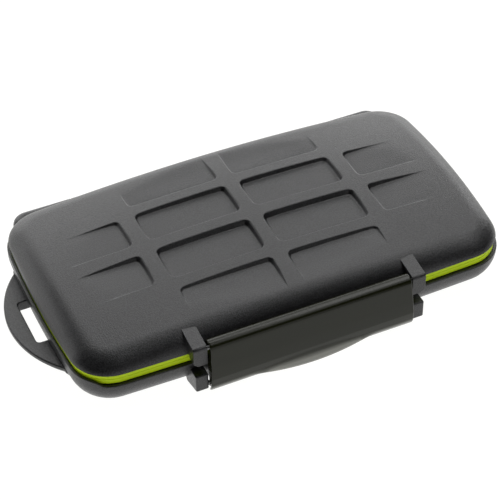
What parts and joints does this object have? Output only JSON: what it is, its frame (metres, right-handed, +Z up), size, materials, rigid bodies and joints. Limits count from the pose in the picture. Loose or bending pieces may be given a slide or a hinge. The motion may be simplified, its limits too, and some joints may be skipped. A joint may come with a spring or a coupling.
{
  "type": "memory card case",
  "caption": "Hinged pocket case for memory cards: ribbed hard lid, dished base with a lanyard loop, two soft inner trays with card pockets and a wide snap latch.",
  "frame": {"origin": "middle of the body's flat underside, leaving the lanyard loop, latch and hinge out of account", "axes": "+X along the case's length, away from the lanyard loop; -Y is the latch side and +Y the hinge side; +Z up through the lid"},
  "size_m": [0.1395, 0.0837, 0.0223],
  "materials": {
    "shell": "black hard plastic with a fine spark-eroded grain",
    "liner": "soft satin elastomer, lime green",
    "latch": "black, smooth gloss",
    "pin": "drawn wire, bright"
  },
  "bodies": {
    "base": {"base_shell": "shell", "base_liner": "liner", "hinge_pin_left": "pin", "hinge_pin_right": "pin"},
    "lid": {"lid_shell": "shell", "lid_liner": "liner", "latch_pin_left": "pin", "latch_pin_right": "pin"},
    "latch": {"latch": "latch"}
  },
  "joints": [
    {"name": "lid_hinge", "type": "hinge", "parent": "base", "child": "lid", "pos_m": [0, 0.03805, 0.0096], "axis": [-1, 0, 0], "range_deg": [0, 172]},
    {"name": "latch_hinge", "type": "hinge", "parent": "lid", "child": "latch", "pos_m": [0, -0.038, 0.01595], "axis": [-1, 0, 0], "range_deg": [0, 180]}
  ]
}
